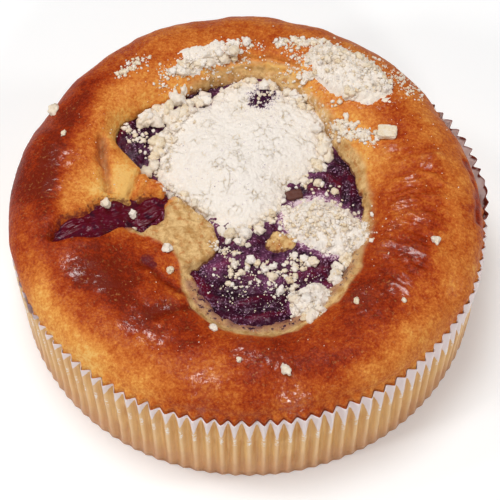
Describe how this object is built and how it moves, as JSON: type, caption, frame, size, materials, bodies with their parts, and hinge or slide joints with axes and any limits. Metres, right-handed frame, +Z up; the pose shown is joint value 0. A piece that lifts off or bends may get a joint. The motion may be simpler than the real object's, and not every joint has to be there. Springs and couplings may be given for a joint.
{
  "type": "crumb cake",
  "caption": "Round single-serving yeast-dough crumb cake with a berry filling in its sunken middle, in a pleated paper case.",
  "frame": {"origin": "centre of the underside of the paper case, on the surface the cake stands on", "axes": "+Z up, -Y towards the side the cake is seen from, +X to the right from there"},
  "size_m": [0.114, 0.114, 0.0401],
  "materials": {
    "paper": "greaseproof baking paper, oiled tan, dry and pinkish white along the rim",
    "crust": "egg-washed baked dough, red-brown to golden, glossy where darkest",
    "filling": "wet dark purple berry filling",
    "crumb": "dry floury crumbs, white to cream",
    "chip": "dark brown, dull"
  },
  "bodies": {
    "root": {"paper_case": "paper", "dough": "crust", "berry_filling": "filling", "crumb_heap": "crumb", "crumbs_far_right": "crumb", "crumbs_far_left": "crumb", "crumbs_right": "crumb", "crumbs_front": "crumb"}
  },
  "joints": []
}
